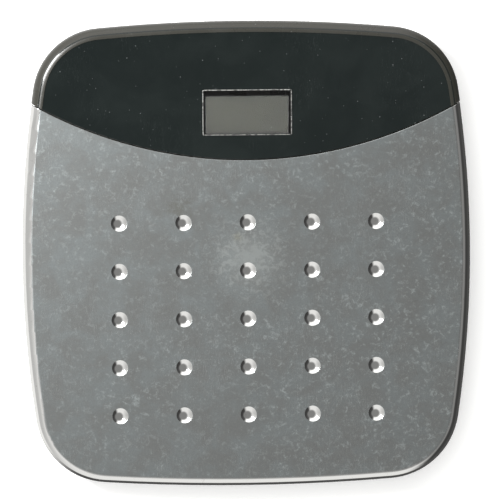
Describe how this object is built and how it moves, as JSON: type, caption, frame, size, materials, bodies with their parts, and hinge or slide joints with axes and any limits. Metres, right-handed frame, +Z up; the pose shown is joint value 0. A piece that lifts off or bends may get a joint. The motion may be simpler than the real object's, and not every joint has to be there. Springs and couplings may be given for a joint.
{
  "type": "electronic personal scale",
  "caption": "Free-standing electronic scale with a dimpled steel platform, a gloss black display head, a moulded tray and load-cell feet.",
  "frame": {"origin": "on the floor under the middle of the outline, at the level of the feet's soles", "axes": "+Z up, +Y towards the display end, +X to the right of a person standing on the platform facing the display"},
  "size_m": [0.3072, 0.3188, 0.038],
  "materials": {
    "stainless": "bead-blasted flat with a polished rolled edge and polished dimples",
    "gloss_black": "high gloss, lightly scratched",
    "window": "clear acrylic",
    "lcd": "unlit display glass",
    "reflector": "matte reflecting film",
    "display_frame": "satin",
    "black_moulding": "fine spark-eroded texture",
    "deck_moulding": "plain moulded",
    "natural_moulding": "natural nylon",
    "foam_tape": "foam tape",
    "elastomer": "conductive silicone rubber",
    "circuit_board": "green solder mask",
    "black_epoxy": "cured epoxy",
    "bright_metal": "nickel plated",
    "capacitor_sleeve": "shrink sleeve",
    "cell_steel": "stamped, nickel plated",
    "sealant": "white silicone",
    "foot_rubber": "matte rubber",
    "lead_sheath": "thin vinyl sheath",
    "battery_can": "printed steel jacket, plain",
    "screw_steel": "zinc plated",
    "label_film": "blank silvered sticker"
  },
  "bodies": {
    "housing": {"platform_plate": "stainless", "head_cover": "gloss_black", "display_lens": "window", "deck_frame": "deck_moulding", "plate_tape": "foam_tape", "base_tray": "black_moulding", "lcd_panel": "lcd", "lcd_reflector": "reflector", "lcd_holder": "display_frame", "zebra_strips": "elastomer", "main_board": "circuit_board", "controller_blob": "black_epoxy", "timing_crystal": "bright_metal", "board_capacitors": "capacitor_sleeve", "wake_sensor": "bright_metal", "unit_switch_housing": "bright_metal", "unit_switch_board": "circuit_board", "battery": "battery_can", "battery_terminals": "bright_metal", "battery_snap": "black_moulding", "battery_lead": "lead_sheath", "switch_lead": "lead_sheath", "case_screws": "screw_steel", "head_screws": "screw_steel", "board_screws": "screw_steel", "retainer_screws": "screw_steel", "switch_screws": "screw_steel", "blank_label": "label_film", "front_left_load_cell": "cell_steel", "front_left_strain_gauge": "sealant", "front_left_cell_retainer": "natural_moulding", "front_left_cell_lead": "lead_sheath", "front_right_load_cell": "cell_steel", "front_right_strain_gauge": "sealant", "front_right_cell_retainer": "natural_moulding", "front_right_cell_lead": "lead_sheath", "rear_left_load_cell": "cell_steel", "rear_left_strain_gauge": "sealant", "rear_left_cell_retainer": "natural_moulding", "rear_left_cell_lead": "lead_sheath", "rear_right_load_cell": "cell_steel", "rear_right_strain_gauge": "sealant", "rear_right_cell_retainer": "natural_moulding", "rear_right_cell_lead": "lead_sheath"},
    "front_left_foot": {"front_left_foot_cup": "black_moulding", "front_left_foot_pad": "foot_rubber"},
    "front_right_foot": {"front_right_foot_cup": "black_moulding", "front_right_foot_pad": "foot_rubber"},
    "rear_left_foot": {"rear_left_foot_cup": "black_moulding", "rear_left_foot_pad": "foot_rubber"},
    "rear_right_foot": {"rear_right_foot_cup": "black_moulding", "rear_right_foot_pad": "foot_rubber"},
    "battery_lid": {"battery_door": "black_moulding"},
    "unit_slider": {"unit_switch_slider": "black_moulding"}
  },
  "joints": [
    {"name": "front_left_foot_press", "type": "slide", "parent": "housing", "child": "front_left_foot", "axis": [0, 0, 1], "range_m": [0, 0.0006], "deforming": ["front_left_load_cell"]},
    {"name": "front_right_foot_press", "type": "slide", "parent": "housing", "child": "front_right_foot", "axis": [0, 0, 1], "range_m": [0, 0.0006], "deforming": ["front_right_load_cell"]},
    {"name": "rear_left_foot_press", "type": "slide", "parent": "housing", "child": "rear_left_foot", "axis": [0, 0, 1], "range_m": [0, 0.0006], "deforming": ["rear_left_load_cell"]},
    {"name": "rear_right_foot_press", "type": "slide", "parent": "housing", "child": "rear_right_foot", "axis": [0, 0, 1], "range_m": [0, 0.0006], "deforming": ["rear_right_load_cell"]},
    {"name": "battery_door_hinge", "type": "hinge", "parent": "housing", "child": "battery_lid", "pos_m": [-0.0296, 0.03, 0.008], "axis": [0, 1, 0], "range_deg": [0, 80]},
    {"name": "unit_switch_slide", "type": "slide", "parent": "housing", "child": "unit_slider", "axis": [1, 0, 0], "range_m": [-0.002, 0.002]}
  ]
}
